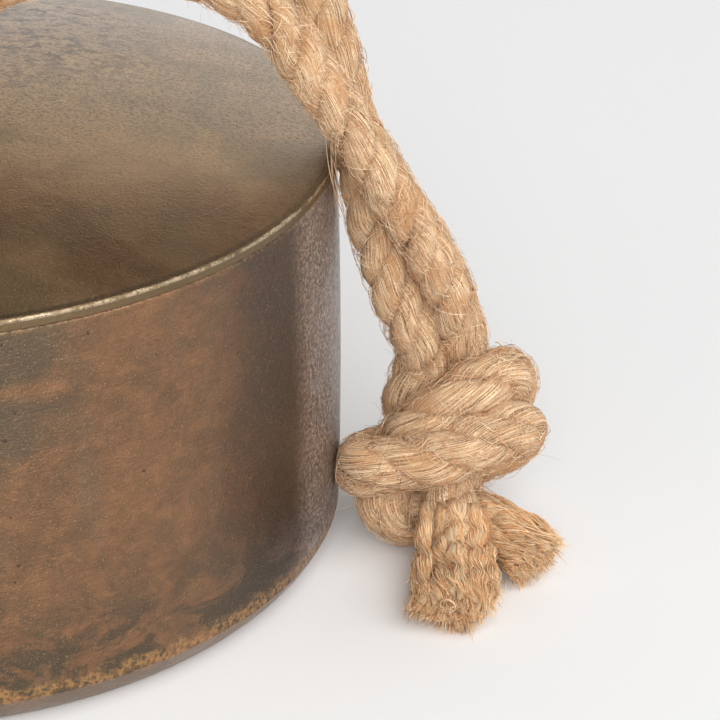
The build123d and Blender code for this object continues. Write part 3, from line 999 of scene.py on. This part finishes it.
# Where each piece of loose fibre begins and ends on the whole rope, and its number of matted hairs
front_knot = eye_step + round(FRONT_TO_KNOT / STEP)
back_knot = eye_step - round(BACK_TO_KNOT / STEP)
HAIRY = {
    "rope_side_fibres": (0, back_knot, 2100),
    "rope_back_fibres": (back_knot, eye_step, 2500),
    "rope_front_fibres": (eye_step, front_knot, 2700),
    "rope_knot_fibres": (front_knot, last_step - 2, 2300),
}
for name, (first, last, matted) in HAIRY.items():
    loose = lying_hairs(strands, first, last, LYING_HAIRS)
    loose.append(matted_hairs(whole, tangent, side, thickness, first, last, matted))
    loose += fly_hairs(strands, first, last, FLY_HAIRS)
    piece(name, loose, HAIR_JUTE)
long_fibres = piece("rope_long_fibres", [hanging_fibres()], ROPE_JUTE)

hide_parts("rope_front_leg", "rope_knot", "rope_front_tail")
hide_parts("rope_back_leg", "rope_side_tail")

# ---------------------------------------------------------------- floor and light

FLOOR_HALF = 4.0
floor_mesh = bpy.data.meshes.new("floor")
corners = [
    (-FLOOR_HALF, -FLOOR_HALF, 0),
    (FLOOR_HALF, -FLOOR_HALF, 0),
    (FLOOR_HALF, FLOOR_HALF, 0),
    (-FLOOR_HALF, FLOOR_HALF, 0),
]
floor_mesh.from_pydata(corners, [], [(0, 1, 2, 3)])
floor_mesh.materials.append(pale_floor())
floor = bpy.data.objects.new("floor", floor_mesh)
bpy.context.scene.collection.objects.link(floor)


def soft_light(name, place, aim, size, watts):
    """A square softbox at a place, facing a point."""
    lamp = bpy.data.lights.new(name, "AREA")
    lamp.shape = "SQUARE"
    lamp.size = size
    lamp.energy = watts
    made = bpy.data.objects.new(name, lamp)
    made.location = place
    made.rotation_euler = (Vector(aim) - Vector(place)).to_track_quat("-Z", "Y").to_euler()
    bpy.context.scene.collection.objects.link(made)


SUN_STRENGTH = 1.62
SUN_SPREAD = 60           # degrees
SUN_TRAVELS = (-0.5, 0.6, -1.0)

overhead = bpy.data.objects.new("overhead", bpy.data.lights.new("overhead", "SUN"))
overhead.data.energy = SUN_STRENGTH
overhead.data.angle = math.radians(SUN_SPREAD)
overhead.rotation_euler = Vector(SUN_TRAVELS).to_track_quat("-Z", "Y").to_euler()
bpy.context.scene.collection.objects.link(overhead)
soft_light("front_softbox", place=(0.05, -2.0, 1.1), aim=(0.1, 0, 0.05), size=1.2, watts=24)

# A pale backdrop all round, and a dim ceiling over it. Between these two angles, in degrees over the
# horizon, one fades into the other.
BACKDROP = 1.2
CEILING = 0.10
BACKDROP_ENDS = 28
CEILING_BEGINS = 39
world = bpy.data.worlds.new("studio")
world.use_nodes = True
tree = world.node_tree
direction = tree.nodes.new("ShaderNodeTexCoord")
height = tree.nodes.new("ShaderNodeSeparateXYZ")
fall = tree.nodes.new("ShaderNodeMapRange")
fall.interpolation_type = "SMOOTHSTEP"
tree.links.new(direction.outputs["Generated"], height.inputs[0])
tree.links.new(height.outputs["Z"], fall.inputs["Value"])
fall.inputs["From Min"].default_value = math.sin(math.radians(BACKDROP_ENDS))
fall.inputs["From Max"].default_value = math.sin(math.radians(CEILING_BEGINS))
fall.inputs["To Min"].default_value = BACKDROP
fall.inputs["To Max"].default_value = CEILING
tree.links.new(fall.outputs["Result"], tree.nodes["Background"].inputs["Strength"])
tree.nodes["Background"].inputs["Color"].default_value = (1, 1, 1, 1)
bpy.context.scene.world = world
bpy.context.scene.view_settings.view_transform = "Standard"
